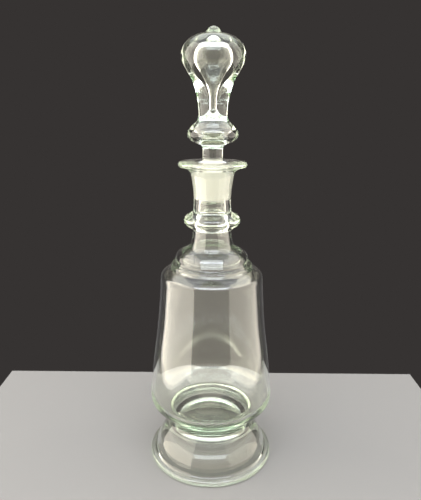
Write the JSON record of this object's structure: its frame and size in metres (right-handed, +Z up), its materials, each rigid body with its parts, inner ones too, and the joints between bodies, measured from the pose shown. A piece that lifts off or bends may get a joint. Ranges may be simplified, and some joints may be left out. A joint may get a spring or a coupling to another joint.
{
  "type": "stoppered glass decanter",
  "caption": "Clear blown-glass decanter on a domed foot, with a stepped shoulder, ringed neck, wide lip and a hollow pear-shaped ground stopper.",
  "frame": {"origin": "centre of the ring under the foot that the decanter stands on", "axes": "+Z up along the axis that every piece is turned about; +X to the right and +Y away, free choices because the object is round"},
  "size_m": [0.097, 0.097, 0.32],
  "materials": {
    "clear_glass": "fire-polished soda-lime glass, faintly green where thick",
    "ground_glass": "the same glass ground to a fine white frost on the peg's taper"
  },
  "bodies": {
    "decanter": {"foot": "clear_glass", "waist": "clear_glass", "body": "clear_glass", "neck": "clear_glass", "neck_ring": "clear_glass", "lip": "clear_glass"},
    "stopper": {"stopper_plug": "ground_glass", "stopper_collar": "clear_glass", "stopper_head": "clear_glass", "stopper_tip": "clear_glass"}
  },
  "joints": [
    {"name": "stopper_lift", "type": "slide", "parent": "decanter", "child": "stopper", "axis": [0, 0, 1], "range_m": [0, 0.06]}
  ]
}
